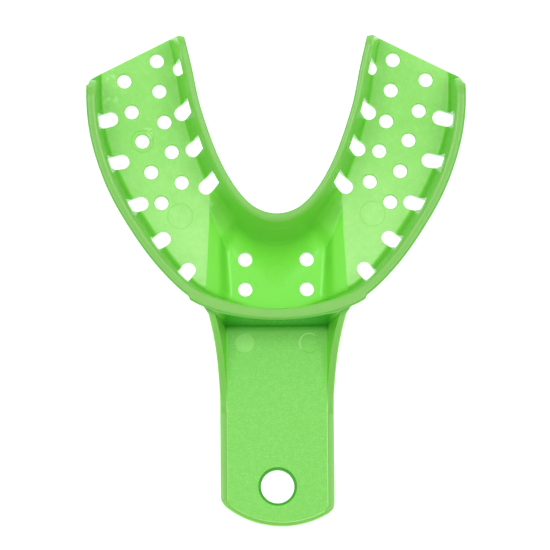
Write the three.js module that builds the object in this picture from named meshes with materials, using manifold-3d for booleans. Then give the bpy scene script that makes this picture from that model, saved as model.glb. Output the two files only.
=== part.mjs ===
// A dental impression tray for the lower jaw: a U-shaped trough with perforated floor and walls, and a flat
// handle stiffened by two flanges. The real tray is one moulding, and each mesh here is a named region of it.
// Millimetres. +X is the tray's right from above, +Y points to the molar ends, +Z is up, out of the trough.
// The origin is the middle of the underside of the whole tray's box.
import * as THREE from "three";
import { mergeVertices } from "three/addons/utils/BufferGeometryUtils.js";
import Module from "manifold-3d";

const wasm = await Module();
wasm.setup();

// Heights.
const RIM_TOP = 14.5;
const FLOOR_TOP = 5.8; // the trough floor under the molars and premolars
const CHANNEL_TOP = 2.2; // the front channel, level with the handle's grip pad
const FLOOR_THICKNESS = 1.8;
const CHANNEL_THICKNESS = 2.2;

// The arch in plan, right half, from the middle of the front to past the molar end. Each is a smooth curve.
const OUTER_RIM = [
  [-6, -8.2],
  [0, -8.62],
  [6, -8.2],
  [12, -6.95],
  [17.2, -4.75],
  [21.6, -1.0],
  [25.9, 4.0],
  [29.7, 9.6],
  [33.0, 15.4],
  [35.6, 21.8],
  [37.3, 28.3],
  [37.95, 35.0],
  [37.7, 42.0],
  [37.0, 49.0],
];
const INNER_RIM = [
  [-4.1, 13.5],
  [0, 12.4],
  [4.1, 13.5],
  [7.4, 16.6],
  [10.1, 20.84],
  [12.3, 25.67],
  [14.0, 30.49],
  [15.4, 35.32],
  [16.55, 41.0],
  [17.7, 46.0],
  [19.0, 51.5],
  [20.5, 57.0],
];
// The slanted cut at the molar ends, through this point of the right half and at this angle to X.
const END_POINT = [35.0, 40.74];
const END_ANGLE = THREE.MathUtils.degToRad(27.4);
const CORNER_OUT = 37.9; // half-width of the arch beside its rounded outer corner
const CORNER_LENGTH = 3.0; // how far the corner's rounding runs along the outer wall
const END_ROUND = 4; // length over which a wall's top rounds down to the end
const END_WALL = 3.2; // height of a wall above the floor at the very end
const PAST_END = 3; // how far the walls run on behind the cut before it is made

// Half-widths of the front channel: its flat bottom, the top of its steep side, and the crease where it ends.
const CHANNEL_FLAT = 9.7;
const CHANNEL_SHOULDER = 11.2;
const CHANNEL_CREASE = 14.3;
const SHOULDER_TOP = 4.5;
const APRON = 0.5; // extra thickness on the outside of the front wall
const FRONT_FOOT_Y = -9.24; // the front wall's outer face meets the grip pad in a straight line here
const FRONT_FOOT_HALF = 10; // half-width of that straight line
const FRONT_FOOT_END = 12.5; // half-width at which the foot is parallel to the rim again
const LEAST_STEP = 0.1; // smallest height left between two levels of the front wall's section

// Handle.
const HANDLE_END = -49.25;
const PLATE_REACH = -8.8; // the plate ends just inside the front wall
const GRIP_HALF = 11.35;
const PAD_HALF = 10.1;
const LEDGE_TOP = 1.3;
const END_ARC_X = 0.9; // the arc of the handle's end is drawn a little to the right of the middle
const END_ARC_RADIUS = 18.1;
const END_CORNER = 1.2; // size of the rounded corners of the handle's end
const PAD_INSET_END = 0.6;
const HANDLE_HOLE = { y: -41.5, radius: 3.34, chamfer: 0.55 };
const FLANGE_START = -27;
const FLANGE_STEPS = 9;
const FLANGE_FADE = 0.15; // height of the flange's tip above the ledge
const FLANGE_RUN_IN = 1 / 6; // share of its length in which a flange comes up to the grip pad
const FLANGE_SWEEP = 1.6; // exponent of its rise from there
const FLANGE_CORNER = 0.3;
const FLANGE_REACH = -6.2; // the flanges end inside the front wall
const FLANGE_RISE = 8.2; // height above the grip pad where they meet the front wall
const FLANGE_LEAN = 0.2;
const FLANGE_THICKNESS = 1.4;

// Perforations, right half: [x, y].
const HOLE_RADIUS = 1.42;
const FLOOR_HOLES = [
  [23.6, 43.8],
  [23.14, 37.7],
  [22.17, 31.5],
  [20.74, 25.5],
  [18.8, 19.35],
  [30.12, 39.75],
  [28.69, 33.55],
  [26.6, 27.65],
  [24.87, 21.45],
  [22.86, 15.25],
  [6.15, 4.2],
  [6.15, -1.78],
];
// D-shaped slots in the corners between floor and walls: [x, y, direction of the square end in degrees].
const SLOT_WIDTH = 2.9;
const SLOT_LENGTH = 4.0;
const SLOT_TOP = 11.8; // the band of wall above this, with the rim, is whole
const SLOT_BOTTOM = -1;
const OUTER_SLOTS = [
  [33.47, 31.7, -17],
  [31.3, 23.2, -12],
  [27.49, 14.75, -20],
  [22.91, 7.55, -38],
  [17.86, 1.25, -55],
];
const INNER_SLOTS = [
  [19.08, 41.8, 145],
  [18.38, 33.35, 145],
  [16.16, 26.05, 145],
  [13.46, 18.7, 140],
];

const GREEN = 0x86dc60;
const RIM_GREEN = 0x82c95c;
const TALL = 40; // taller than the tray, for cutters
const RIM_ROUND = 0.55;
const ROUND_STEPS = 24;
const ARC_STEPS = 12;
const FILLET_STEPS = 4;

// The walls' shapes: thickness at the rim, lean of the faces as run per unit of height, fillet at the foot.
// The front goes from its middle to the crease, the sides from the crease over the broad part to the end.
const FRONT_OUTER = { middle: [1.5, 0.05, 1.1], crease: [1.75, 0.2, 1.6] };
const FRONT_INNER = { middle: [1.75, 0.48, 10], crease: [1.5, 0.26, 1.2] };
const FRONT_FILLET_SPEED = 1.15; // the wide fillet of the front has shrunk a little before the crease
const SIDE_OUTER = { crease: [1.75, 0.2, 1.6], broad: [1.68, 0.26, 1.9], end: [1.55, 0.16, 1.0] };
const SIDE_INNER = { crease: [1.5, 0.26, 1.2], end: [1.5, 0.14, 0.8] };
const BROAD_SHARE = 0.3; // where along the side the outer wall leans most

// ---- Solids ----

function toSolid(geometry) {
  const bare = new THREE.BufferGeometry();
  const source = geometry.index ? geometry : mergeVertices(geometry);
  bare.setAttribute("position", source.getAttribute("position"));
  bare.setIndex(source.index);
  const merged = mergeVertices(bare, 1e-4);
  const mesh = new wasm.Mesh({
    numProp: 3,
    vertProperties: merged.attributes.position.array,
    triVerts: new Uint32Array(merged.index.array),
  });
  return new wasm.Manifold(mesh);
}

function toGeometry(solid) {
  const mesh = solid.getMesh();
  const geometry = new THREE.BufferGeometry();
  geometry.setAttribute("position", new THREE.BufferAttribute(mesh.vertProperties, 3));
  geometry.setIndex(new THREE.BufferAttribute(mesh.triVerts, 1));
  return geometry;
}

function unite(solids) {
  return solids.reduce((sum, solid) => sum.add(solid));
}

// A closed solid through rings of points. Every ring is a flat upright loop with the same number of points.
function loft(rings) {
  const count = rings[0].length;
  const positions = rings.flat().flatMap((p) => [p.x, p.y, p.z]);
  const indices = [];
  for (let k = 0; k + 1 < rings.length; k++) {
    for (let i = 0; i < count; i++) {
      const a = k * count + i;
      const b = k * count + ((i + 1) % count);
      indices.push(a, b, b + count, a, b + count, a + count);
    }
  }
  const last = (rings.length - 1) * count;
  for (const [a, b, c] of capTriangles(rings[0])) indices.push(a, c, b);
  for (const [a, b, c] of capTriangles(rings.at(-1))) indices.push(last + a, last + b, last + c);
  const geometry = new THREE.BufferGeometry();
  geometry.setAttribute("position", new THREE.Float32BufferAttribute(positions, 3));
  geometry.setIndex(indices);
  const solid = toSolid(geometry);
  return solid.volume() > 0 ? solid : toSolid(turnedOver(geometry));
}

function turnedOver(geometry) {
  const index = geometry.index.array;
  for (let i = 0; i < index.length; i += 3) [index[i + 1], index[i + 2]] = [index[i + 2], index[i + 1]];
  return geometry;
}

function stripped(geometry) {
  geometry.deleteAttribute("normal");
  geometry.deleteAttribute("uv");
  return geometry;
}

// Triangles of a flat loop that stands upright, in the loop's own order of points.
function capTriangles(ring) {
  const origin = ring[0];
  const far = ring.reduce((best, p) => (flatDistance(p, origin) > flatDistance(best, origin) ? p : best));
  const along = new THREE.Vector2(far.x - origin.x, far.y - origin.y).normalize();
  const outline = ring.map((p) => {
    const across = (p.x - origin.x) * along.x + (p.y - origin.y) * along.y;
    return new THREE.Vector2(across, p.z);
  });
  const triangles = THREE.ShapeUtils.triangulateShape(outline, []);
  return THREE.ShapeUtils.isClockWise(outline) ? triangles.map(([a, b, c]) => [a, c, b]) : triangles;
}

function flatDistance(p, q) {
  return Math.hypot(p.x - q.x, p.y - q.y);
}

function extrude(shape, bottom, top) {
  const settings = { depth: top - bottom, bevelEnabled: false, curveSegments: ARC_STEPS };
  const geometry = new THREE.ExtrudeGeometry(shape, settings);
  return toSolid(stripped(geometry).translate(0, 0, bottom));
}

// ---- The arch ----

function curveOf(points) {
  return new THREE.SplineCurve(points.map(([x, y]) => new THREE.Vector2(x, y)));
}

// A rim curve with its parameter u in 0..1 starting at the middle of the front.
class Rim {
  constructor(points, inward) {
    this.curve = curveOf(points);
    this.start = 1 / (points.length - 1);
    this.inward = inward;
  }

  at(u) {
    const t = this.start + u * (1 - this.start);
    const point = this.curve.getPoint(t);
    const tangent = this.curve.getTangent(t);
    const towardsFloor = new THREE.Vector2(-tangent.y, tangent.x).multiplyScalar(this.inward);
    return { point, towardsFloor };
  }

  // The parameter where the line at a set distance in from the rim reaches half-width x.
  whereFootIs(x, distance) {
    let low = 0;
    let high = 1;
    for (let step = 0; step < 40; step++) {
      const middle = (low + high) / 2;
      const { point, towardsFloor } = this.at(middle);
      if (point.x + towardsFloor.x * distance < x) low = middle;
      else high = middle;
    }
    return low;
  }
}

const outerRim = new Rim(OUTER_RIM, 1);
const innerRim = new Rim(INNER_RIM, -1);

function blend(from, to, share) {
  const s = THREE.MathUtils.smoothstep(share, 0, 1);
  return THREE.MathUtils.lerp(from, to, s);
}

// The floor's top at a half-width: a flat channel, a steep side, a gentle shoulder, then the trough floor.
function floorTop(x) {
  const half = Math.abs(x);
  if (half <= CHANNEL_FLAT) return CHANNEL_TOP;
  if (half >= CHANNEL_CREASE) return FLOOR_TOP;
  if (half <= CHANNEL_SHOULDER) {
    return THREE.MathUtils.mapLinear(half, CHANNEL_FLAT, CHANNEL_SHOULDER, CHANNEL_TOP, SHOULDER_TOP);
  }
  return THREE.MathUtils.mapLinear(half, CHANNEL_SHOULDER, CHANNEL_CREASE, SHOULDER_TOP, FLOOR_TOP);
}

function floorBottom(x) {
  const share = (floorTop(x) - CHANNEL_TOP) / (FLOOR_TOP - CHANNEL_TOP);
  const thickness = THREE.MathUtils.lerp(CHANNEL_THICKNESS, FLOOR_THICKNESS, share);
  return floorTop(x) - thickness;
}

// How far a point is from the slanted cut at the molar end, along the cut's normal.
function fromEnd(point) {
  return (END_POINT[0] - point.x) * Math.sin(END_ANGLE) + (END_POINT[1] - point.y) * Math.cos(END_ANGLE);
}

function wallTop(point) {
  const share = THREE.MathUtils.clamp(fromEnd(point) / END_ROUND, 0, 1);
  const low = FLOOR_TOP + END_WALL;
  return low + (RIM_TOP - low) * Math.sqrt(1 - (1 - share) ** 2);
}

// One wall's cross-section: points [distance in from the rim's outer edge, height], from the foot's underside
// round the outside and over the rim to the foot's top. `lean` is the inner face's run per unit of height and
// the outer one's too unless `outerFoot` says where the outer face reaches the level of the grip pad.
function wallSection({ width, lean, fillet, floor, underside, top, apron = 0, outerFoot }) {
  const turn = Math.PI / 2 + Math.atan(lean);
  const reach = Math.tan(turn / 2);
  const foot = footDistance({ width, lean, fillet, floor });
  const inside = (z) => width + lean * (RIM_TOP - z);
  const outside = (z) => {
    if (outerFoot === undefined) return lean * (RIM_TOP - z) - apron;
    const depth = Math.min(1, (RIM_TOP - z) / (RIM_TOP - CHANNEL_TOP));
    return THREE.MathUtils.lerp(-apron, outerFoot, depth);
  };
  const points = [[foot, underside]];
  if (outerFoot !== undefined) {
    points.push([outside(underside), underside]);
    const footTop = Math.max(CHANNEL_TOP, underside + LEAST_STEP);
    points.push([outside(footTop), footTop]);
  } else {
    const room = (foot - outside(underside)) * reach;
    const radius = Math.min(fillet + FLOOR_THICKNESS, room * 0.98);
    points.push(...filletArc(outside(underside) + radius / reach, underside, radius, turn));
  }
  points.push([outside(top - RIM_ROUND), top - RIM_ROUND]);
  points.push([outside(top) + RIM_ROUND / 3, top - RIM_ROUND / 5]);
  points.push([outside(top) + RIM_ROUND, top]);
  points.push([inside(top) - RIM_ROUND, top]);
  points.push([inside(top) - RIM_ROUND / 3, top - RIM_ROUND / 5]);
  points.push([inside(top - RIM_ROUND), top - RIM_ROUND]);
  points.push(...filletArc(foot, floor, fillet, turn).reverse());
  return points;
}

// The arc from a level face at height z, which it leaves at distance d, up to the wall's face.
function filletArc(d, z, radius, turn) {
  const arc = [];
  for (let i = 0; i <= FILLET_STEPS; i++) {
    const angle = (i / FILLET_STEPS) * (Math.PI - turn);
    arc.push([d - radius * Math.sin(angle), z + radius * (1 - Math.cos(angle))]);
  }
  return arc;
}

function footDistance({ width, lean, fillet, floor }) {
  const turn = Math.PI / 2 + Math.atan(lean);
  return width + lean * (RIM_TOP - floor) + fillet / Math.tan(turn / 2);
}

// A wall's thickness, lean and fillet between two places along it.
function wallBetween(from, to, share) {
  const [width, lean, fillet] = from.map((value, i) => blend(value, to[i], share));
  return { width, lean, fillet };
}

function frontOuter(half) {
  return {
    ...wallBetween(FRONT_OUTER.middle, FRONT_OUTER.crease, half / CHANNEL_CREASE),
    floor: floorTop(half),
    underside: floorBottom(half),
    top: RIM_TOP,
    apron: APRON,
  };
}

function frontInner(half) {
  const share = half / CHANNEL_CREASE;
  const { middle, crease: end } = FRONT_INNER;
  return {
    ...wallBetween(middle, end, share),
    fillet: wallBetween(middle, end, Math.min(1, share * FRONT_FILLET_SPEED)).fillet,
    floor: floorTop(half),
    underside: floorBottom(half),
    top: RIM_TOP,
  };
}

function sideOuter(share) {
  const { crease: start, broad, end } = SIDE_OUTER;
  const late = (share - BROAD_SHARE) / (1 - BROAD_SHARE);
  return {
    ...(share < BROAD_SHARE ? wallBetween(start, broad, share / BROAD_SHARE) : wallBetween(broad, end, late)),
    floor: FLOOR_TOP,
    underside: FLOOR_TOP - FLOOR_THICKNESS,
  };
}

function sideInner(share) {
  return {
    ...wallBetween(SIDE_INNER.crease, SIDE_INNER.end, share),
    floor: FLOOR_TOP,
    underside: FLOOR_TOP - FLOOR_THICKNESS,
  };
}

// How far in from the rim the front wall's outer face is at the grip pad's level. Negative is outside it.
function frontFoot(half, u, shape) {
  const { point, towardsFloor } = outerRim.at(u);
  const straight = (FRONT_FOOT_Y - point.y) / towardsFloor.y;
  const parallel = shape.lean * (RIM_TOP - CHANNEL_TOP) - shape.apron;
  return blend(straight, parallel, (half - FRONT_FOOT_HALF) / (FRONT_FOOT_END - FRONT_FOOT_HALF));
}

// A wall's ring of points at one station. mirror is 1 on the right side of the tray and -1 on the left.
function wallRing(rim, u, shape, mirror) {
  const { point, towardsFloor } = rim.at(u);
  const top = shape.top ?? wallTop(point);
  const section = wallSection({ ...shape, top });
  return section.map(([d, z]) => {
    const x = point.x + towardsFloor.x * d;
    return new THREE.Vector3(mirror * x, point.y + towardsFloor.y * d, z);
  });
}

function floorRing(outer, inner) {
  return [outer[0], outer.at(-1), inner.at(-1), inner[0]];
}

function frontStation(x) {
  const half = Math.abs(x);
  const mirror = x < 0 ? -1 : 1;
  const outerShape = frontOuter(half);
  const innerShape = frontInner(half);
  const outerU = outerRim.whereFootIs(half, footDistance(outerShape));
  outerShape.outerFoot = frontFoot(half, outerU, outerShape);
  const innerU = innerRim.whereFootIs(half, footDistance(innerShape));
  const outer = wallRing(outerRim, outerU, outerShape, mirror);
  const inner = wallRing(innerRim, innerU, innerShape, mirror);
  return { outer, inner, floor: floorRing(outer, inner), outerU, innerU };
}

// Where a rim curve passes the slanted cut by a little.
function whereRimPassesEnd(rim) {
  let u = 0;
  while (u < 1 && fromEnd(rim.at(u).point) > -PAST_END) u += 0.002;
  return u;
}

const crease = frontStation(CHANNEL_CREASE);
const outerEnd = whereRimPassesEnd(outerRim);
const innerEnd = whereRimPassesEnd(innerRim);

function sideStation(share, mirror) {
  const outerU = THREE.MathUtils.lerp(crease.outerU, outerEnd, share);
  const innerU = THREE.MathUtils.lerp(crease.innerU, innerEnd, share);
  const outer = wallRing(outerRim, outerU, sideOuter(share), mirror);
  const inner = wallRing(innerRim, innerU, sideInner(share), mirror);
  return { outer, inner, floor: floorRing(outer, inner) };
}

const FRONT_STATIONS = [
  -CHANNEL_CREASE, -12.8, -CHANNEL_SHOULDER, -CHANNEL_FLAT, -7.2, -4.8, -2.4, 0,
  2.4, 4.8, 7.2, CHANNEL_FLAT, CHANNEL_SHOULDER, 12.8, CHANNEL_CREASE,
];
const PREMOLAR_SHARES = [0, 0.08, 0.16, 0.24, 0.32, 0.4, 0.48];
const MOLAR_SHARES = [0.48, 0.56, 0.64, 0.72, 0.78, 0.82, 0.86, 0.88, 0.9, 0.92, 0.94, 1];

// ---- Perforations ----

function roundHole(x, y, radius = HOLE_RADIUS) {
  const geometry = new THREE.CylinderGeometry(radius, radius, TALL, ROUND_STEPS).rotateX(Math.PI / 2);
  return toSolid(stripped(geometry).translate(x, y, 0));
}

// A slot with a round end on the floor and a square end at the rim.
function slotCutter(x, y, degrees, mirror) {
  const half = SLOT_WIDTH / 2;
  const square = SLOT_LENGTH / 2;
  const roundAt = half - SLOT_LENGTH / 2;
  const shape = new THREE.Shape();
  shape.moveTo(square, -half);
  shape.lineTo(square, half);
  shape.lineTo(roundAt, half);
  shape.absarc(roundAt, 0, half, Math.PI / 2, (3 * Math.PI) / 2, false);
  shape.closePath();
  const angle = THREE.MathUtils.degToRad(mirror > 0 ? degrees : 180 - degrees);
  const turned = new THREE.Shape(shape.getPoints(8).map((p) => p.rotateAround(new THREE.Vector2(), angle)));
  return extrude(turned, SLOT_BOTTOM, SLOT_TOP).translate([mirror * x, y, 0]);
}

function perforations() {
  const cutters = [];
  for (const mirror of [-1, 1]) {
    for (const [x, y] of FLOOR_HOLES) cutters.push(roundHole(mirror * x, y));
    for (const [x, y, degrees] of [...OUTER_SLOTS, ...INNER_SLOTS]) {
      cutters.push(slotCutter(x, y, degrees, mirror));
    }
  }
  return unite(cutters);
}

// The space behind the slanted cut at one molar end and outside its rounded outer corner.
function endCutter(mirror) {
  const slope = Math.tan(END_ANGLE);
  const [startX, startY] = END_POINT;
  const cornerY = startY - (CORNER_OUT - startX) * slope;
  const shape = new THREE.Shape();
  shape.moveTo(0, startY + startX * slope);
  shape.lineTo(startX, startY);
  shape.quadraticCurveTo(CORNER_OUT, cornerY, CORNER_OUT, cornerY - CORNER_LENGTH);
  shape.lineTo(2 * CORNER_OUT, cornerY - CORNER_LENGTH);
  shape.lineTo(2 * CORNER_OUT, 2 * startY);
  shape.lineTo(0, 2 * startY);
  shape.closePath();
  const placed = shape.getPoints(8).map((p) => new THREE.Vector2(mirror * p.x, p.y));
  return extrude(new THREE.Shape(placed), -TALL / 2, TALL / 2);
}

// ---- The handle ----

// The handle's outline, set in from its end by `inset`: straight sides, and an arc with rounded corners.
function gripShape(half, inset) {
  const radius = END_ARC_RADIUS - inset;
  const centreY = HANDLE_END + END_ARC_RADIUS;
  const arcY = (x) => centreY - Math.sqrt(radius ** 2 - (x - END_ARC_X) ** 2);
  const angleAt = (x) => Math.atan2(arcY(x) - centreY, x - END_ARC_X);
  const from = -half + END_CORNER;
  const to = half - END_CORNER;
  const shape = new THREE.Shape();
  shape.moveTo(-half, PLATE_REACH);
  shape.lineTo(-half, arcY(-half) + END_CORNER);
  shape.quadraticCurveTo(-half, arcY(-half), from, arcY(from));
  shape.absarc(END_ARC_X, centreY, radius, angleAt(from), angleAt(to), false);
  shape.quadraticCurveTo(half, arcY(half), half, arcY(half) + END_CORNER);
  shape.lineTo(half, PLATE_REACH);
  shape.closePath();
  return shape;
}

function handlePlate() {
  const base = extrude(gripShape(GRIP_HALF, 0), 0, LEDGE_TOP);
  const pad = extrude(gripShape(PAD_HALF, PAD_INSET_END), LEDGE_TOP / 2, CHANNEL_TOP);
  const { y, radius, chamfer } = HANDLE_HOLE;
  const through = roundHole(0, y, radius);
  const cone = new THREE.CylinderGeometry(radius + 2 * chamfer, radius, 2 * chamfer, ROUND_STEPS);
  cone.rotateX(Math.PI / 2).translate(0, y, CHANNEL_TOP);
  return base.add(pad).subtract(through).subtract(toSolid(stripped(cone)));
}

function flange(mirror) {
  const rings = [];
  for (let k = 0; k <= FLANGE_STEPS; k++) {
    const share = k / FLANGE_STEPS;
    const y = THREE.MathUtils.lerp(FLANGE_START, FLANGE_REACH, share);
    const toPad = (CHANNEL_TOP - LEDGE_TOP) * Math.min(1, share / FLANGE_RUN_IN);
    const rise = FLANGE_FADE + toPad + FLANGE_RISE * share ** FLANGE_SWEEP;
    const thickness = THREE.MathUtils.lerp(GRIP_HALF - PAD_HALF, FLANGE_THICKNESS, share);
    const top = LEDGE_TOP + rise;
    const lean = FLANGE_LEAN * rise;
    const edge = top - Math.min(FLANGE_CORNER, rise / 3);
    const inner = PAD_HALF + lean;
    const outer = inner + thickness;
    const outline = [
      [PAD_HALF, LEDGE_TOP],
      [PAD_HALF + thickness, LEDGE_TOP],
      [outer, edge],
      [outer - FLANGE_CORNER, top],
      [inner + FLANGE_CORNER, top],
      [inner, edge],
    ];
    rings.push(outline.map(([x, z]) => new THREE.Vector3(mirror * x, y, z)));
  }
  return loft(rings);
}

// ---- Assembly ----

const group = new THREE.Group();
const cutters = perforations();
const ends = { "-1": endCutter(-1), 1: endCutter(1) };
const archSolids = [];

function addMesh(name, solid, colour, roughness) {
  const material = new THREE.MeshStandardMaterial({ color: colour, roughness, metalness: 0 });
  material.name = name;
  const mesh = new THREE.Mesh(toGeometry(solid), material);
  mesh.name = name;
  group.add(mesh);
}

function addArchZone(prefix, stations, mirror) {
  const parts = [
    ["outer_wall", "outer", RIM_GREEN, 0.35],
    ["floor", "floor", GREEN, 0.5],
    ["inner_wall", "inner", RIM_GREEN, 0.35],
  ];
  for (const [part, key, colour, roughness] of parts) {
    let solid = loft(stations.map((station) => station[key])).subtract(cutters);
    if (mirror) solid = solid.subtract(ends[mirror]);
    archSolids.push(solid);
    addMesh(`${prefix}_${part}`, solid, colour, roughness);
  }
}

addArchZone("front", FRONT_STATIONS.map(frontStation), 0);
for (const [side, mirror] of [["left", -1], ["right", 1]]) {
  addArchZone(`${side}_premolar`, PREMOLAR_SHARES.map((share) => sideStation(share, mirror)), mirror);
  addArchZone(`${side}_molar`, MOLAR_SHARES.map((share) => sideStation(share, mirror)), mirror);
}

const arch = unite(archSolids);
addMesh("handle_plate", handlePlate().subtract(arch), GREEN, 0.55);
addMesh("left_handle_flange", flange(-1).subtract(arch), RIM_GREEN, 0.4);
addMesh("right_handle_flange", flange(1).subtract(arch), RIM_GREEN, 0.4);

export default group;
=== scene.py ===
"""A dental impression tray for the lower jaw, moulded in one piece of bright green, translucent plastic.

Lengths in the shape's own sums are millimetres; meshes are in metres. +X is the tray's right seen from above,
+Y runs from the handle to the molar ends and +Z is up, out of the trough.
"""
import math

import bpy
import numpy as np
from mathutils import Matrix, Vector


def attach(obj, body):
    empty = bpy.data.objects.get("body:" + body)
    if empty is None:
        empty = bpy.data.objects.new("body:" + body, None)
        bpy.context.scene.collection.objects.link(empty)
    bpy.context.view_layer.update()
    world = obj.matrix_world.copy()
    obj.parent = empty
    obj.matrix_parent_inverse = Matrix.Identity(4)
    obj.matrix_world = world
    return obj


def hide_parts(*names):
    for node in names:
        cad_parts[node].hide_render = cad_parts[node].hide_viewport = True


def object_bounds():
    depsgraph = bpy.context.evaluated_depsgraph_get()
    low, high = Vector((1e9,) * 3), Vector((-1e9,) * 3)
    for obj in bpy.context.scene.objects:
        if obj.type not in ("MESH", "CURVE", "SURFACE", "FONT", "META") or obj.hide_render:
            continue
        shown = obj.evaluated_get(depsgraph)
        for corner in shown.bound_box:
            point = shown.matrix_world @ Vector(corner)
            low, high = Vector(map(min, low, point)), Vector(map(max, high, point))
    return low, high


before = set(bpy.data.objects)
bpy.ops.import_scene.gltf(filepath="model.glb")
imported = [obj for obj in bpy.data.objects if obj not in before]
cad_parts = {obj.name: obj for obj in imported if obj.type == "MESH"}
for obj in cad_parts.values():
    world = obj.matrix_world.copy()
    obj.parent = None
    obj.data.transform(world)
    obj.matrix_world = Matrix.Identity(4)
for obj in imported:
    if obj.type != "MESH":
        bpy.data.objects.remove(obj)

cad_low, cad_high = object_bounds()

bl_info = {
    "name": "Impression Tray",
    "version": (1, 0, 0),
    "blender": (4, 5, 0),
    "location": "View3D > Sidebar > Tray",
    "description": "Models a perforated impression tray with its handle, and a plain stage for it",
    "category": "Mesh",
}

MM = 0.001
BODY = "root"

# Heights, in millimetres. The box of the frame gives the rim and the handle's end.
RIM_TOP = cad_high.z / MM
HANDLE_END = cad_low.y / MM
CHANNEL_TOP = 2.2
SHOULDER_TOP = 4.5

# The arch in plan, right half, starting in the middle of the front.
OUTER_RIM = [
    (0, -8.62), (6, -8.2), (12, -6.95), (17.2, -4.75), (21.6, -1.0), (25.9, 4.0), (29.7, 9.6),
    (33.0, 15.4), (35.6, 21.8), (37.3, 28.3), (37.95, 35.0), (37.7, 42.0), (37.0, 49.0),
]
INNER_RIM = [
    (0, 12.4), (4.1, 13.5), (7.4, 16.6), (10.1, 20.84), (12.3, 25.67), (14.0, 30.49), (15.4, 35.32),
    (16.55, 41.0), (17.7, 46.0), (19.0, 51.5), (20.5, 57.0),
]

# The slanted cut at the molar ends: a point of it, its angle to X, and the round outer corner.
END_POINT = np.array((35.0, 41.18))
END_ANGLE = math.radians(26.4)
END_NORMAL = np.array((math.sin(END_ANGLE), math.cos(END_ANGLE)))
CORNER_OUT = 37.9
END_LEAN = 0.105  # the cut leans back, so much for each millimetre above the floor
CORNER_RADIUS = 2.6
INNER_CORNER_RADIUS = 1.2
END_ROUND = 3.6  # length over which the rim comes down to the end
END_WALL = 3.4  # height of a wall above the floor at the very end
PAST_END = 3.0

# Where the front channel's flat bottom, shoulder and crease end: half-width at the outer and at the inner
# wall's foot, and the floor's height there.
CHANNEL_KNOTS = [
    (0.0, 0.0, CHANNEL_TOP), (9.3, 9.9, CHANNEL_TOP), (11.3, 11.2, SHOULDER_TOP), (14.2, 13.3, None),
]
CREASE_SOFTNESS = 0.035  # as a share of the front's half-width
APRON = 0.5  # extra thickness outside the front wall, which stops in a step beside the handle
APRON_END = (17.2, 17.9)
WALL_FOOT_Y = -9.24  # the front wall meets the grip in a straight line
FLARE_LOW = CHANNEL_TOP - 0.05  # level and size of the small fillet there
FLARE_SIZE = 0.95

# Steps along each bend, face and floor of the section, and stations along the arch.
BEND_STEPS = 6
FACE_STEPS = 7
OUTSIDE_STEPS = 14
RIM_STEPS = 5
FILLET_STEPS = 9
FLOOR_STEPS = 22
FRONT_STATIONS = 44
RIM_ROUND = 0.65

# The handle.
GRIP_HALF = 11.35
PAD_HALF = 10.1
LEDGE_TOP = 1.85
END_ARC_CENTRE = 0.9  # the handle's end is an arc drawn a little to the right of its middle
END_ARC_RADIUS = 18.1
PAD_INSET_END = 0.62
GRIP_REACH = -5.0
HOLE_Y = -41.35
HOLE_RADIUS = 3.34
FLANGE_START = -27.6
FLANGE_AT_PAD = -24.7  # here the flanges come level with the pad
FLANGE_REACH = -4.6
FLANGE_RISE = 8.2
FLANGE_LIMIT = 12.6
FLANGE_WIDTH = 1.4
# Half-width over the flanges: place along the handle, half-width.
FLANGE_SPREAD = [
    (-27.6, 11.33), (-23.0, 11.38), (-19.9, 11.6), (-16.8, 11.9), (-13.8, 12.3), (-10.9, 12.9), (-9.26, 13.3),
    (-7.65, 13.75), (-6.04, 14.9), (-4.6, 15.6),
]

LAP = 0.03  # faces that would lie in one plane where two solids are fused are kept this far apart

# Perforations, right half.
ROUND_HOLES = [
    (23.6, 43.8), (23.14, 37.7), (22.17, 31.5), (20.74, 25.5), (18.8, 19.35), (30.12, 39.75), (28.69, 33.55),
    (26.6, 27.65), (24.87, 21.45), (22.86, 15.25), (6.15, 4.2), (6.15, -1.78),
]
# Slots in the corners between floor and wall: place, and direction of the square end in degrees.
OUTER_SLOTS = [
    (33.55, 31.95, -17), (31.35, 23.45, -12), (27.6, 14.93, -20), (23.06, 7.67, -38), (17.97, 1.3, -55),
]
INNER_SLOTS = [(18.3, 42.5, 145), (18.1, 33.65, 145), (15.9, 26.35, 145), (13.4, 18.85, 140)]
SLOT_TOP = 11.6
SLOT_TAPER = 0.88  # width of the square end as a share of the round end's
LIP = 0.1  # chamfer round each hole
GRIP_LIP = 0.55  # and round the handle's hole
HOLE_STEPS = 56

GRIP_CORNER = 1.3
PAD_CORNER = 1.0
# The rounding of the grip's edges at each level, and of the flanges' top edges.
GRIP_EDGES = ((CHANNEL_TOP, 0.15), (LEDGE_TOP, 0.3), (0.0, 0.2))
FLANGE_EDGE = 0.4
ON_LEVEL = 1e-3  # how near, in millimetres, counts as the same level


# ---- Sizes and colours that a user would change ----
class TRAY_PG_sizes(bpy.types.PropertyGroup):
    floor_height: bpy.props.FloatProperty(
        name="Floor height", description="Top of the trough floor above the table",
        default=5.8 * MM, unit="LENGTH", min=0.004, max=0.009)
    floor_thickness: bpy.props.FloatProperty(
        name="Floor thickness", description="Thickness of the trough floor",
        default=1.8 * MM, unit="LENGTH", min=0.001, max=0.003)
    hole_diameter: bpy.props.FloatProperty(
        name="Hole diameter", description="Diameter of the round perforations",
        default=2.84 * MM, unit="LENGTH", min=0.001, max=0.004)
    slot_width: bpy.props.FloatProperty(
        name="Slot width", description="Width of the slots along the walls",
        default=3.08 * MM, unit="LENGTH", min=0.001, max=0.004)
    slot_length: bpy.props.FloatProperty(
        name="Slot length", description="Length of the slots, round end included",
        default=4.35 * MM, unit="LENGTH", min=0.002, max=0.006)
    grain_depth: bpy.props.FloatProperty(
        name="Grain depth", description="Depth of the spark-eroded grain on the floor and the grip",
        default=0.012 * MM, unit="LENGTH", min=0.0, max=0.0001)


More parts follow.
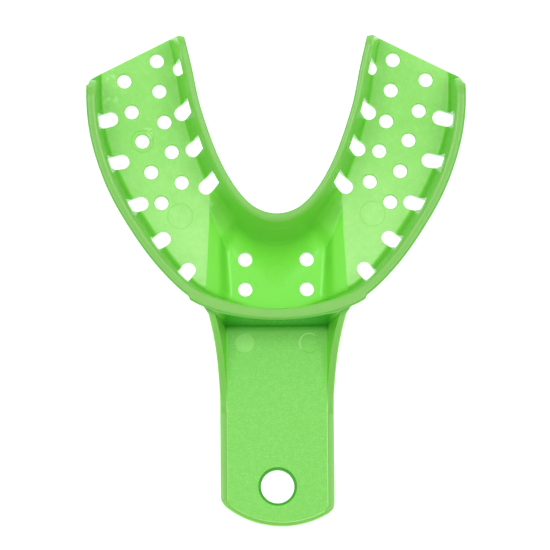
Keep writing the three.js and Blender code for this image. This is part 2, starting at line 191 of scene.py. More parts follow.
def colour_setting(name, description, value):
    return bpy.props.FloatVectorProperty(
        name=name, description=description, default=value, subtype="COLOR", size=3, min=0.0, max=1.0)


class TRAY_PG_colours(bpy.types.PropertyGroup):
    plastic: colour_setting("Plastic", "Green of the polished channel", (0.26, 0.86, 0.085))
    grained: colour_setting("Grained plastic", "Green of the grained trough floor", (0.30, 0.76, 0.145))
    # The pale green also gives the painted highlights on the front rim, along the pad's edge and on one side
    # of a pin ring.
    pale: colour_setting("Pale plastic", "Palest green, towards the floor's front", (0.54, 0.95, 0.34))
    grip: colour_setting("Grip", "Green of the grip's grained pad", (0.22, 0.72, 0.10))
    # The deep green is painted shade on steep walls, the fillets in the creases and the front inner wall, and
    # it also draws the darker pin and gate rings.
    deep: colour_setting("Deep plastic", "Green of the upright walls", (0.20, 0.69, 0.063))
    # Painted shade: under the front rim, on the outer wall's inner faces, on the rims' outward sides and on
    # the chamfer round the grip's hole.
    shade: colour_setting("Shaded plastic", "Dark green under the front rim", (0.004, 0.34, 0.001))
    # The edge green is painted shade: thin rims and the grip's ledges send back less light than the floor.
    edge: colour_setting("Edges", "Duller green of the rims and of the flanges' tops", (0.23, 0.60, 0.105))
    floor: colour_setting("Stage", "The pale table under the tray", (0.35, 0.35, 0.35))


# ---- Small sums ----
def mix(a, b, share):
    return a + (b - a) * share


def ease(share):
    share = min(1.0, max(0.0, share))
    return share * share * (3 - 2 * share)


def bend(start, corner, end, steps):
    """Points of the curve that turns from start to end round a corner."""
    start, corner, end = (np.array(p, float) for p in (start, corner, end))
    shares = [i / steps for i in range(steps + 1)]
    return [start * (1 - s) ** 2 + corner * 2 * s * (1 - s) + end * s * s for s in shares]


class Rim:
    """A smooth curve through a rim's points and their mirror images, by its length from the middle."""

    def __init__(self, half, inward):
        half = np.array(half, float)
        self.points = np.vstack([half[:0:-1] * (-1, 1), half])
        self.inward = inward
        steps = np.linalg.norm(np.diff(self.points, axis=0), axis=1)
        self.run = np.concatenate([[0], np.cumsum(steps)])
        self.run -= self.run[-1] / 2
        self.steps = steps
        self.curl = self._curl()

    def _curl(self):
        count = len(self.points)
        system = np.eye(count)
        wanted = np.zeros((count, 2))
        slopes = np.diff(self.points, axis=0) / self.steps[:, None]
        for i in range(1, count - 1):
            before, after = self.steps[i - 1], self.steps[i]
            system[i, i - 1:i + 2] = before, 2 * (before + after), after
            wanted[i] = 6 * (slopes[i] - slopes[i - 1])
        return np.linalg.solve(system, wanted)

    def at(self, run):
        """The rim's place there, and the level direction from it towards the trough."""
        i = int(np.clip(np.searchsorted(self.run, run) - 1, 0, len(self.steps) - 1))
        length = self.steps[i]
        after = (run - self.run[i]) / length
        before = 1 - after
        p, q = self.points[i], self.points[i + 1]
        c, d = self.curl[i], self.curl[i + 1]
        place = before * p + after * q + ((before**3 - before) * c + (after**3 - after) * d) * length**2 / 6
        along = (q - p) / length + ((1 - 3 * before**2) * c + (3 * after**2 - 1) * d) * length / 6
        along /= np.linalg.norm(along)
        return place, np.array((-along[1], along[0])) * self.inward

    def where_foot_is(self, x, distance):
        """The run at which the line that far in from the rim reaches half-width x."""
        low, high = 0.0, self.run[-1]
        for _ in range(40):
            middle = (low + high) / 2
            place, inward = self.at(middle)
            if place[0] + inward[0] * distance < x:
                low = middle
            else:
                high = middle
        return low

    def where_end_is(self):
        run = 0.0
        while run < self.run[-1] and from_end(self.at(run)[0]) > -PAST_END:
            run += 0.1
        return run


def from_end(place):
    """How far a place is inside the slanted cut at the molar end."""
    return float(np.dot(END_POINT - place[:2], END_NORMAL))


class Corner:
    """A round corner between the slanted cut and another edge, given by a place on it and its normal."""

    def __init__(self, place, normal, radius):
        self.radius = radius
        self.normals = np.array((END_NORMAL, normal))
        reach = np.array((np.dot(END_POINT, END_NORMAL), np.dot(place, normal))) - radius
        self.centre = np.linalg.solve(self.normals, reach)

    def inside(self, place):
        """How far a place is inside the arc, or None where the arc doesn't bound it."""
        out = place[:2] - self.centre
        shares = np.linalg.solve(self.normals.T, out)
        return self.radius - float(np.linalg.norm(out)) if min(shares) >= 0 else None


CORNERS = [
    Corner((CORNER_OUT, 0.0), (1.0, 0.0), CORNER_RADIUS),
    Corner((18.62, 49.9), (-0.975, 0.222), INNER_CORNER_RADIUS),
]


def inside_outline(place, floor):
    """How far a place is inside the molar end's outline: the slanted cut and its two round corners."""
    lean = END_LEAN * max(0.0, place[2] - floor)
    for corner in CORNERS:
        gap = corner.inside(place)
        if gap is not None:
            return gap - lean
    return from_end(place) - lean


# ---- The section of the arch ----
class Wall:
    """One wall's section. Distances d run level from the rim's outer edge towards the trough."""

    def __init__(self, width, lean, fillet, floor, underside, under_bend, apron=0.0, foot_out=None, flare=0.0,
                 top=RIM_TOP):
        self.width, self.fillet, self.floor, self.top = width, fillet, floor, top
        self.lean = lean * (RIM_TOP - floor) / (top - floor)
        self.underside, self.under_bend = underside, under_bend
        self.apron, self.foot_out, self.flare = apron, foot_out, flare

    def outside(self, z):
        if self.foot_out is None:
            return self.lean * (self.top - z) - self.apron
        depth = min(1.0, (RIM_TOP - z) / (RIM_TOP - CHANNEL_TOP))
        above = min(1.0, max(0.0, (z - FLARE_LOW) / FLARE_SIZE))
        swell = 1 - math.sqrt(1 - (1 - above) ** 2)
        return mix(-self.apron, self.foot_out, depth) - self.flare * swell

    def inside(self, z):
        return self.width + self.lean * (self.top - z)

    def fillet_run(self):
        """Length of the fillet along the wall and along the floor."""
        turn = math.pi / 2 + math.atan(self.lean)
        room = max(0.1, self.top - RIM_ROUND - self.floor) * 0.9
        return min(self.fillet / math.tan(turn / 2), room)

    def foot(self):
        return self.inside(self.floor) + self.fillet_run()

    def outside_levels(self, low, high):
        """Heights up the outer face, crowded where the front wall flares into the grip."""
        flare_start = max(FLARE_LOW, mix(low, high, 0.02))
        flare_end = max(FLARE_LOW + FLARE_SIZE, mix(low, high, 0.3))
        knots = [low, flare_start, flare_end, high]
        shares = [i / OUTSIDE_STEPS for i in range(1, OUTSIDE_STEPS + 1)]
        return np.interp(shares, [0, 0.16, 0.65, 1], knots)

    def chain(self):
        """Points from the foot's underside, round the outside and over the rim, to the foot's top."""
        foot = self.foot()
        corner = self.outside(self.underside)
        under = min(self.under_bend, (foot - corner) * 0.9)
        rise = min(under, (self.top - self.underside) * 0.5)
        low, high = self.underside + rise, self.top - RIM_ROUND
        points = [np.array((foot, self.underside))]
        low_corner = (corner, self.underside)
        points += bend((corner + under, self.underside), low_corner, (self.outside(low), low), BEND_STEPS)
        points += [np.array((self.outside(z), z)) for z in self.outside_levels(low, high)]
        out, inn, top = self.outside(self.top), self.inside(self.top), self.top
        points += bend((self.outside(high), high), (out, top), (out + RIM_ROUND, top), RIM_STEPS)[1:]
        flat = (out + RIM_ROUND, inn - RIM_ROUND)
        points += [np.array((mix(*flat, i / 4), top)) for i in range(1, 4)]
        points += bend((inn - RIM_ROUND, top), (inn, top), (self.inside(high), high), RIM_STEPS)
        start = self.floor + self.fillet_run() * math.cos(math.atan(self.lean))
        for step in range(1, FACE_STEPS + 1):
            z = mix(high, start, step / FACE_STEPS)
            points.append(np.array((self.inside(z), z)))
        floor_corner = (self.inside(self.floor), self.floor)
        points += bend((self.inside(start), start), floor_corner, (foot, self.floor), FILLET_STEPS)[1:]
        return points


def placed(rim, run, wall):
    place, inward = rim.at(run)
    return [np.array((*(place + inward * d), z)) for d, z in wall.chain()]


def ring(outer, inner):
    """The whole section: outer wall, floor, inner wall and underside, as one closed loop."""
    def between(a, b):
        return [mix(a, b, i / FLOOR_STEPS) for i in range(1, FLOOR_STEPS)]

    inner = inner[::-1]
    return np.array(outer + between(outer[-1], inner[0]) + inner + between(inner[-1], outer[0]))


def rim_height(place, floor):
    share = min(1.0, max(0.0, from_end(place) / END_ROUND))
    low = floor + END_WALL
    return mix(low, RIM_TOP, math.sqrt(1 - (1 - share) ** 2))


class Arch:
    """The trough's sections, from the middle of the front to the right molar end."""

    def __init__(self, floor, thickness):
        self.floor, self.thickness = floor, thickness
        self.outer, self.inner = Rim(OUTER_RIM, 1), Rim(INNER_RIM, -1)
        self.crease = self.front_runs(1.0)
        self.ends = self.outer.where_end_is(), self.inner.where_end_is()

    def channel(self, share):
        """Half-widths at both feet and the floor's height, with every crease a little softened."""
        knots = [(o, i, self.floor if z is None else z) for o, i, z in CHANNEL_KNOTS]
        widest = knots[-1][0]
        at = [o / widest for o, _, _ in knots]
        spread = np.linspace(-CREASE_SOFTNESS, CREASE_SOFTNESS, 9)
        height = float(np.mean([np.interp(abs(share + s), at, [k[2] for k in knots]) for s in spread]))
        inner_half = float(np.interp(share, at, [k[1] for k in knots]))
        return widest * share, inner_half, height

    def front_walls(self, share):
        x_outer, x_inner, floor = self.channel(share)
        rise = (floor - CHANNEL_TOP) / (self.floor - CHANNEL_TOP)
        underside = floor - mix(CHANNEL_TOP - LAP, self.thickness, rise)
        beside = ease((x_outer - 10.0) / 2.4)
        along = ease(share)
        outer = Wall(mix(1.75, 2.1, along), mix(0.03, 0.165, along), mix(1.1, 1.6, along), floor,
                     underside, mix(0.5, 2.9, ease((x_outer - 10.5) / 3.7)), apron=APRON)
        if share < 0.8:
            inner_fillet = mix(10.0, 5.0, ease(share / 0.8))
        else:
            inner_fillet = mix(5.0, 3.2, (share - 0.8) / 0.2)
        inner = Wall(mix(1.75, 1.5, along), mix(0.48, 0.26, along), inner_fillet, floor, underside,
                     mix(0.8, 2.6, along))
        outer_run = self.outer.where_foot_is(x_outer, outer.foot())
        inner_run = self.inner.where_foot_is(x_inner, inner.foot())
        place, inward = self.outer.at(outer_run)
        straight = (WALL_FOOT_Y - place[1]) / max(0.5, inward[1])
        parallel = outer.lean * (RIM_TOP - CHANNEL_TOP) - APRON
        outer.foot_out = mix(straight, parallel, beside)
        outer.flare = mix(FLARE_SIZE, 0.0, ease((x_outer - 9.4) / 1.6))
        return outer, inner, outer_run, inner_run

    def front_runs(self, share):
        return self.front_walls(share)[2:]

    def front_ring(self, share):
        outer, inner, outer_run, inner_run = self.front_walls(share)
        return ring(placed(self.outer, outer_run, outer), placed(self.inner, inner_run, inner))

    def side_ring(self, share):
        outer_run = mix(self.crease[0], self.ends[0], share)
        inner_run = mix(self.crease[1], self.ends[1], share)
        outer_place, inner_place = self.outer.at(outer_run)[0], self.inner.at(inner_run)[0]
        floor, underside = self.floor, self.floor - self.thickness
        early, late = ease(share / 0.3), ease((share - 0.3) / 0.7)
        lean = mix(0.165, 0.22, early) if share < 0.3 else mix(0.22, 0.11, late)
        fillet = mix(1.6, 1.9, early) if share < 0.3 else mix(1.9, 1.0, late)
        step = ease((outer_place[0] - APRON_END[0]) / (APRON_END[1] - APRON_END[0]))
        along = ease(share)
        outer = Wall(mix(2.1, 2.0, along), lean, fillet, floor, underside, mix(2.9, 2.3, along),
                     apron=mix(APRON, 0.0, step), top=rim_height(outer_place, floor))
        if share < 0.2:
            inner_fillet = mix(3.2, 1.2, ease(share / 0.2))
        else:
            inner_fillet = mix(1.2, 0.8, ease((share - 0.2) / 0.8))
        inner = Wall(1.5, mix(0.26, 0.14, along), inner_fillet, floor, underside,
                     mix(2.6, 2.0, along), top=rim_height(inner_place, floor))
        return ring(placed(self.outer, outer_run, outer), placed(self.inner, inner_run, inner))

    def rings(self):
        """Every station's section, with the last ones fitted to the molar end's outline and rounded edges."""
        front = [self.front_ring(i / FRONT_STATIONS) for i in range(FRONT_STATIONS)]
        bands = np.linspace(0, 0.1, 40), np.linspace(0.1, 0.85, 220), np.linspace(0.85, 1, 140)
        shares = np.unique(np.concatenate(bands))
        paths = np.array([self.side_ring(s) for s in shares])
        ends = np.array([
            first_crossing(shares, [inside_outline(p, self.floor) for p in path])
            for path in paths.transpose(1, 0, 2)
        ])
        start, middle, end = np.linspace(0, 0.08, 14), np.linspace(0.08, 0.9, 72), np.linspace(0.9, 1, 26)
        spacing = np.concatenate([start, middle[1:], end[1:]])

        def at(fractions):
            return np.array([
                [np.interp(f * e, shares, paths[:, i, axis]) for axis in range(3)]
                for i, (f, e) in enumerate(zip(fractions, ends))
            ])

        return front + [at(np.full(paths.shape[1], f)) for f in spacing]


def first_crossing(shares, gaps):
    for k in range(1, len(gaps)):
        if gaps[k] < 0 <= gaps[k - 1]:
            return mix(shares[k - 1], shares[k], gaps[k - 1] / (gaps[k - 1] - gaps[k]))
    return shares[-1]


# ---- Mesh helpers ----
def deselect_all():
    for thing in bpy.context.selected_objects:
        thing.select_set(False)


def activate(piece):
    deselect_all()
    piece.select_set(True)
    bpy.context.view_layer.objects.active = piece


def edit_everything():
    """Enters edit mode with all of the active piece selected."""
    bpy.ops.object.mode_set(mode="EDIT")
    bpy.ops.mesh.select_all(action="SELECT")


def select_edges(piece, test):
    """Selects only the edges that pass the test, which gets both ends in millimetres. Stays in edit mode."""
    bpy.ops.object.mode_set(mode="EDIT")
    bpy.ops.mesh.select_mode(type="EDGE")
    bpy.ops.mesh.select_all(action="DESELECT")
    bpy.ops.object.mode_set(mode="OBJECT")
    mesh = piece.data
    for edge in mesh.edges:
        a, b = (mesh.vertices[v].co / MM for v in edge.vertices)
        edge.select = bool(test(a, b))
    bpy.ops.object.mode_set(mode="EDIT")


def add_sheet(name, rings):
    """A grid with one column for each ring and one row for each of its points, rolled up into a tube."""
    columns, rows = len(rings) - 1, len(rings[0])
    bpy.ops.mesh.primitive_grid_add(x_subdivisions=columns, y_subdivisions=rows, size=2)
    piece = bpy.context.object
    piece.name = piece.data.name = name
    for vertex in piece.data.vertices:
        column = round((vertex.co.x + 1) / 2 * columns)
        row = round((vertex.co.y + 1) / 2 * rows)
        vertex.co = Vector(rings[column][row % rows]) * MM
    edit_everything()
    bpy.ops.mesh.remove_doubles(threshold=1e-7)
    bpy.ops.object.mode_set(mode="OBJECT")
    return piece


def close_end(piece, low, high):
    """Fills the open end that lies between two places along Y."""
    select_edges(piece, lambda a, b: False)
    bpy.ops.mesh.select_non_manifold(extend=False, use_wire=False, use_boundary=True, use_multi_face=False,
                                     use_non_contiguous=False, use_verts=False)
    bpy.ops.object.mode_set(mode="OBJECT")
    mesh = piece.data
    for edge in mesh.edges:
        ys = [mesh.vertices[v].co.y / MM for v in edge.vertices]
        edge.select = edge.select and low <= min(ys) and max(ys) <= high
    bpy.ops.object.mode_set(mode="EDIT")
    bpy.ops.mesh.fill(use_beauty=True)
    bpy.ops.object.mode_set(mode="OBJECT")


def turn_outwards(piece):
    """Makes all the faces of a piece look outwards."""
    activate(piece)
    edit_everything()
    bpy.ops.mesh.normals_make_consistent(inside=False)
    bpy.ops.object.mode_set(mode="OBJECT")


def mirror_across(piece):
    activate(piece)
    modifier = piece.modifiers.new("other half", "MIRROR")
    modifier.use_axis[0] = True
    modifier.use_clip = True
    modifier.merge_threshold = 1e-6
    bpy.ops.object.modifier_apply(modifier=modifier.name)


def combine(piece, other, operation):
    """Joins the other solid to the piece, or cuts it away, and removes it."""
    activate(piece)
    modifier = piece.modifiers.new(operation.lower(), "BOOLEAN")
    modifier.operation = operation
    modifier.solver = "EXACT"
    modifier.object = other
    bpy.ops.object.modifier_apply(modifier=modifier.name)
    bpy.data.objects.remove(other, do_unlink=True)


def joined(pieces, name):
    deselect_all()
    for piece in pieces:
        piece.select_set(True)
    bpy.context.view_layer.objects.active = pieces[0]
    bpy.ops.object.join()
    result = bpy.context.object
    result.name = result.data.name = name
    return result


def apply_place(piece):
    activate(piece)
    bpy.ops.object.transform_apply(location=True, rotation=True, scale=True)


# ---- Shader wiring ----
class Socket:
    """A node's output that takes part in sums: a + b, a - b, a * b and a / b add Math nodes."""

    def __init__(self, shop, out):
        self.shop, self.out = shop, out

    def _sum(self, operation, a, b):
        return self.shop.node("ShaderNodeMath", {"operation": operation}, {0: a, 1: b})

    def __add__(self, other):
        return self._sum("ADD", self, other)

    def __radd__(self, other):
        return self._sum("ADD", other, self)

    def __sub__(self, other):
        return self._sum("SUBTRACT", self, other)

    def __rsub__(self, other):
        return self._sum("SUBTRACT", other, self)

    def __mul__(self, other):
        return self._sum("MULTIPLY", self, other)

    def __truediv__(self, other):
        return self._sum("DIVIDE", self, other)

    def __pow__(self, other):
        return self._sum("POWER", self, other)

    def bigger(self, other):
        return self._sum("MAXIMUM", self, other)

    def smaller(self, other):
        return self._sum("MINIMUM", self, other)

    def size(self):
        return self.shop.node("ShaderNodeMath", {"operation": "ABSOLUTE"}, {0: self})


class Shop:
    """Builds one material's nodes."""

    def __init__(self, name):
        self.material = bpy.data.materials.new(name)
        self.material.use_nodes = True
        self.tree = self.material.node_tree
        self.shader = self.tree.nodes["Principled BSDF"]

    def node(self, kind, settings=None, inputs=None, output=0):
        node = self.tree.nodes.new(kind)
        for key, value in (settings or {}).items():
            setattr(node, key, value)
        for key, value in (inputs or {}).items():
            self.feed(node.inputs[key], value)
        return Socket(self, node.outputs[output])

    def feed(self, socket, value):
        if isinstance(value, Socket):
            self.tree.links.new(value.out, socket)
        elif hasattr(value, "__len__") and hasattr(socket.default_value, "__len__"):
            wide = len(socket.default_value)
            socket.default_value = tuple(value)[:wide] if len(value) >= wide else (*value, 1.0)
        else:
            socket.default_value = value

    def step(self, value, low, high):
        """0 below low, 1 above high, and smooth between."""
        kind = {"interpolation_type": "SMOOTHSTEP"}
        return self.node("ShaderNodeMapRange", kind, {0: value, 1: low, 2: high, 3: 0.0, 4: 1.0})

    def colour(self, share, a, b):
        kind = {"data_type": "RGBA", "blend_type": "MIX"}
        return self.node("ShaderNodeMix", kind, {0: share, 6: a, 7: b}, output=2)

    def parts(self, vector):
        """A vector's three components."""
        node = self.tree.nodes.new("ShaderNodeSeparateXYZ")
        self.feed(node.inputs[0], vector)
        return [Socket(self, out) for out in node.outputs]

    def noise(self, place, scale, detail=2.0, roughness=0.5):
        inputs = {"Vector": place, "Scale": scale, "Detail": detail, "Roughness": roughness}
        return self.node("ShaderNodeTexNoise", {}, inputs)


class Marks:
    """Round and striped marks on the surface, from a place's own lengths in millimetres."""

    def __init__(self, shop, x, y, z):
        self.shop, self.x, self.y, self.z = shop, x, y, z

    def away(self, centre):
        dx, dy = self.x - centre[0], self.y - centre[1]
        return (dx * dx + dy * dy) ** 0.5

    def ring(self, centre, radius, width):
        return 1 - self.shop.step((self.away(centre) - radius).size(), 0.0, width)

    def disc(self, centre, radius, soft):
        return 1 - self.shop.step(self.away(centre), radius - soft, radius + soft)

    def between(self, value, low, high, soft):
        past_high = self.shop.step(value, high - soft, high + soft)
        return self.shop.step(value, low - soft, low + soft) * (1 - past_high)


# An ellipse along the middle of the trough, which tells the outer wall from the inner one, and the middle of
# the inner wall's round front, which is a little wider than a circle.
TROUGH_CENTRE_Y = 45.0
TROUGH_HALF_WIDTH = 28.0
TROUGH_HALF_LENGTH = 43.0
LINGUAL_CENTRE_Y = 20.6
LINGUAL_SPREAD = 0.77

# Ranges over which one tone of the plastic, or of the shade and highlights painted on it, gives way to the
# next: millimetres, or how far a face looks up.
LEVEL_FACE = (0.86, 0.97)
CREASE = (14.05, 14.3)
CREASE_SLANT = 0.055
PAD_FRONT = (-10.9, -9.5)
PAD_SIDE = (9.9, 10.2)
RIM_ZONE = (7.4, 7.9)
UNDER_RIM_BACK = (-10.7, -8.9)
STEEP_FACE = (0.12, 0.95)
FILLET_FACE = (0.6, 0.985)
LINGUAL_ZONE = (13.0, 15.4)
FLOOR_LEVEL = (5.35, 6.15)
PAD_LEVEL = (2.05, 2.35)
BESIDE_PAD = (9.95, 10.3)
ABOVE_LEDGE = (1.9, 2.1)
GRIP_BACK = (-9.4, -8.8)
UPWARD_FACE = (0.45, 0.85)
ABOVE_RECESS = (3.4, 3.9)
RIM_CREST = (13.6, 14.2)
UNDER_RIM_FRONT = (-7.9, -7.5)
RECESS_SIDE = (10.0, 12.0)
ABOVE_GRIP = (2.2, 2.6)
GRIP_TO_ARCH = (-10.0, -9.0)
LINGUAL_BACK = (15.0, 19.0)
RIM_FACE = (11.0, 13.0)
PALE_FRONT = (2.0, 34.0)
RIM_FRONT = (-6.0, 2.0)
RIM_HIGH = (10.0, 12.0)

PLASTIC_IOR = 1.49
GLOW_SHARE = 0.3  # how much light the plastic scatters inside
GLOW_COLOUR = (0.5, 1.6, 0.25)
GLOW_DEPTH = 1.2

# Where mould marks are, in millimetres: centre and radius.
FLOOR_PINS = [((-19.15, 12.6), 2.5), ((19.3, 12.9), 2.5)]
CHANNEL_PIN = ((0.3, 0.85), 2.3)
GRIP_PIN_LEFT = ((-6.35, -12.6), 1.9)
GRIP_PIN_RIGHT = ((6.5, -12.6), 1.9)
GATE = (-26.6, 27.65)
GATE_RADIUS = 2.2
GATE_CHIPS = ((-25.3, 28.9), 1.3)
SCRATCHES = (-33.0, 38.5)
CUTTER_ARCS = (11.7, 6.9)  # heights of two faint lines left by the cutter on the front inner wall


def green_plastic(sizes, colours):
    """Bright green plastic: polished walls and channel, spark-eroded grain on the floor and the grip, with
    shade and highlights painted into its colour.
    """
    shop = Shop("green moulded plastic")
    place = shop.node("ShaderNodeTexCoord", output=3)
    normal = shop.node("ShaderNodeTexCoord", output=1)
    x, y, z = (part / MM for part in shop.parts(place))
    facing_x, facing_y, up = shop.parts(normal)
    half = x.size()
    marks = Marks(shop, x, y, z)

    # Where things are.
    level = shop.step(up, *LEVEL_FACE)
    beyond_crease = shop.step(half + (y + 1.5) * CREASE_SLANT, *CREASE)
    on_floor = marks.between(z, *FLOOR_LEVEL, 0.15) * beyond_crease * level
    on_pad = marks.between(z, *PAD_LEVEL, 0.1) * (1 - shop.step(y, *PAD_FRONT))
    on_pad = on_pad * (1 - shop.step(half, *PAD_SIDE)) * level
    off_pad = shop.step(half, *BESIDE_PAD).bigger(1 - shop.step(z, *ABOVE_LEDGE))
    off_pad = off_pad * (1 - shop.step(y, *GRIP_BACK))
    # Painted shade: the rim tops and the grip's ledges take the duller edge green.
    shaded_edge = (shop.step(z, *RIM_ZONE) + off_pad).smaller(1.0) * shop.step(up, *UPWARD_FACE)
    # Painted shadow under the front rim, on the front wall's outer face and on the grip just in front of it.
    faces_grip = shop.step(0 - facing_y, 0.3, 0.8).bigger(1 - shop.step(z, *ABOVE_RECESS))
    faces_grip = faces_grip * (1 - shop.step(z, *RIM_CREST))
    shadow_under_front_rim = faces_grip * shop.step(y, *UNDER_RIM_BACK) * (1 - shop.step(y, *UNDER_RIM_FRONT))
    shadow_under_front_rim = shadow_under_front_rim * shop.step(z, *ABOVE_LEDGE) * (1 - shop.step(half, *RECESS_SIDE))
    low_on_grip = (1 - shop.step(z, *ABOVE_GRIP)) * (1 - shop.step(y, *GRIP_TO_ARCH))
    # Painted shade on the steep front inner wall, which sees less of the light.
    lingual_away = (x * x * LINGUAL_SPREAD + (y - LINGUAL_CENTRE_Y) * (y - LINGUAL_CENTRE_Y)) ** 0.5
    lingual_shade = (1 - shop.step(lingual_away, *LINGUAL_ZONE)) * (1 - shop.step(y, *LINGUAL_BACK))
    lingual_shade = lingual_shade * (1 - on_floor)
    # Painted shade: steep faces and the fillets in the creases take the darker wall green, except the grip's
    # low faces.
    fillet = (1 - shop.step(up, *FILLET_FACE)) * beyond_crease
    steep_shaded = (1 - shop.step(up, *STEEP_FACE)).bigger(fillet) * (1 - low_on_grip)
    steep_shaded = steep_shaded.bigger(lingual_shade * shop.step(z, 2.6, 6.0) * 0.85)
    grained = (on_floor + on_pad).smaller(1.0)
    over_x, over_y = x / TROUGH_HALF_WIDTH, (y - TROUGH_CENTRE_Y) / TROUGH_HALF_LENGTH
    beyond_middle = shop.step(over_x * over_x + over_y * over_y, 0.9, 1.1)
    looks_out = facing_x * over_x / TROUGH_HALF_WIDTH + facing_y * over_y / TROUGH_HALF_LENGTH
    looks_out = looks_out * TROUGH_HALF_WIDTH
    # Painted shade on the outer wall's inner faces.
    outer_face_shade = steep_shaded * beyond_middle * shop.step(0 - looks_out, 0.05, 0.3) * shop.step(y, -8.2, -7.2)
    # Painted shade on the outward-facing sides of the rims.
    looks_away = looks_out * (beyond_middle * 2 - 1)
    rim_side_shade = shop.step(looks_away, 0.1, 0.4) * shop.step(z, *RIM_FACE)

    # Tones, with painted shade and painted highlights.
    cloud = shop.noise(place, 170.0, 3.0, 0.55)
    mottle = shop.noise(place, 900.0, 3.0, 0.65)
    speckle = shop.noise(place, 3600.0, 2.0, 0.7)
    toward_front = 1 - shop.step(y, *PALE_FRONT)
    specks = shop.step(speckle, 0.52, 0.68)
    pale = shop.step(cloud, 0.35, 0.7) * 0.15 + shop.step(mottle, 0.4, 0.72) * 0.15
    pale = pale + specks * 0.15 + toward_front * 0.6
    floor_green = shop.colour(pale, colours.grained, colours.pale)
    pad_green = shop.colour(specks * 0.26 + shop.step(mottle, 0.4, 0.7) * 0.12, colours.grip, colours.pale)
    body = shop.colour(on_floor, colours.plastic, floor_green)
    body = shop.colour(on_pad, body, pad_green)
    body = shop.colour(steep_shaded, body, colours.deep)
    body = shop.colour(outer_face_shade * 0.2, body, colours.shade)
    body = shop.colour(shadow_under_front_rim, body, colours.shade)
    # Painted highlight: the front rim's edge green is mixed a little towards the pale green.
    painted_rim_highlight = (1 - shop.step(y, *RIM_FRONT)) * shop.step(z, *RIM_HIGH)
    edge_shade_and_highlight = shop.colour(painted_rim_highlight * 0.08, colours.edge, colours.pale)
    body = shop.colour(shaded_edge, body, edge_shade_and_highlight)
    body = shop.colour(rim_side_shade * 0.4, body, colours.shade)
    # Painted shade on the sloping chamfer round the grip's hole.
    hole_chamfer_shade = marks.disc((0, HOLE_Y), HOLE_RADIUS + 1.0, 0.1) * (1 - shop.step(up, 0.8, 0.98))
    body = shop.colour(hole_chamfer_shade * 0.75, body, colours.shade)
    # Painted highlight along the pad's rounded edge, at the sides and round the end, brighter on the right.
    from_arc = marks.away((END_ARC_CENTRE, HANDLE_END + END_ARC_RADIUS))
    along_end = marks.between(from_arc, END_ARC_RADIUS - 0.78, END_ARC_RADIUS - 0.55, 0.06)
    along_end = along_end * (1 - shop.step(y, -43.5, -43.0))
    along_side = marks.between(half, 9.95, 10.15, 0.05) * (1 - shop.step(y, -26.0, -24.0))
    along_side = along_side * shop.step(y, -46.2, -45.6)
    pad_edge_highlight = (along_end + along_side) * shop.step(z, 1.8, 1.95) * (0.45 + shop.step(x, -9.0, 9.0) * 0.35)
    body = shop.colour(pad_edge_highlight.smaller(0.8), body, colours.pale)

    # Marks left by ejector pins, by the gate and by the mould's cutter, and a painted highlight on one side
    # of the right grip pin's ring.
    left_pin = marks.disc(*GRIP_PIN_LEFT, 0.12) * on_pad
    chips = marks.disc(*GATE_CHIPS, 0.5) * shop.step(mottle, 0.5, 0.6) * on_floor
    grit = shop.step(speckle, 0.66, 0.74) * shop.step(cloud, 0.5, 0.6) * on_floor
    body = shop.colour((left_pin * 0.35 + chips * 1.2 + grit * 0.5).smaller(0.9), body, colours.pale)
    rings = marks.ring(*CHANNEL_PIN, 0.15) * 0.4 + marks.ring(GATE, GATE_RADIUS, 0.25)
    for centre, radius in FLOOR_PINS:
        rings = rings + marks.ring(centre, radius, 0.2) * 0.8
    rings = rings + marks.ring(*GRIP_PIN_RIGHT, 0.18)
    body = shop.colour(rings.smaller(1.0) * 0.45 * (1 - steep_shaded), body, colours.deep)
    # Painted highlight on one side of the right grip pin's ring.
    pin_ring_highlight = shop.step(y - x, -19.5, -18.0) * marks.ring(*GRIP_PIN_RIGHT, 0.22)
    scratches = shop.step(mottle, 0.56, 0.62) * marks.disc(SCRATCHES, 3.0, 1.2) * on_floor
    body = shop.colour((pin_ring_highlight * 0.8 + scratches * 0.6).smaller(0.9), body, colours.pale)
    pins = left_pin * 0.05 + marks.disc(*GRIP_PIN_RIGHT, 0.12) * 0.03
    high_arc, low_arc = (marks.between(z, height - 0.05, height + 0.05, 0.03) for height in CUTTER_ARCS)
    arcs = (high_arc + low_arc) * (1 - shop.step(half, 1.6, 2.8))
    arcs = arcs * shop.step(y, 2.0, 3.0) * (1 - shop.step(y, 11.0, 12.0))
    body = shop.colour(arcs * 0.35, body, colours.pale)
    lines = shop.node("ShaderNodeTexNoise", {"noise_dimensions": "1D"}, {"W": z, "Scale": 3.5, "Detail": 2.0})

    rough = 0.22 + grained * 0.3 + mottle * 0.06 + left_pin * 0.1 + chips * 0.1 - arcs * 0.05
    grain = shop.noise(place, 4200.0, 3.0, 0.75)
    waves = shop.noise(place, 110.0, 2.0, 0.5)
    height = grain * grained * (sizes.grain_depth / MM) + waves * 0.02 - rings * 0.035 - pins - arcs * 0.01
    height = height + lines * steep_shaded * 0.006 - chips * 0.02
    relief = shop.node("ShaderNodeBump", {}, {"Strength": 1.0, "Distance": MM, "Height": height})

    shop.shader.inputs["IOR"].default_value = PLASTIC_IOR
    shop.shader.inputs["Subsurface Weight"].default_value = GLOW_SHARE
    shop.shader.inputs["Subsurface Radius"].default_value = GLOW_COLOUR
    shop.shader.inputs["Subsurface Scale"].default_value = GLOW_DEPTH * MM
    shop.feed(shop.shader.inputs["Base Color"], body)
    shop.feed(shop.shader.inputs["Roughness"], rough)
    shop.feed(shop.shader.inputs["Normal"], relief)
    return shop.material


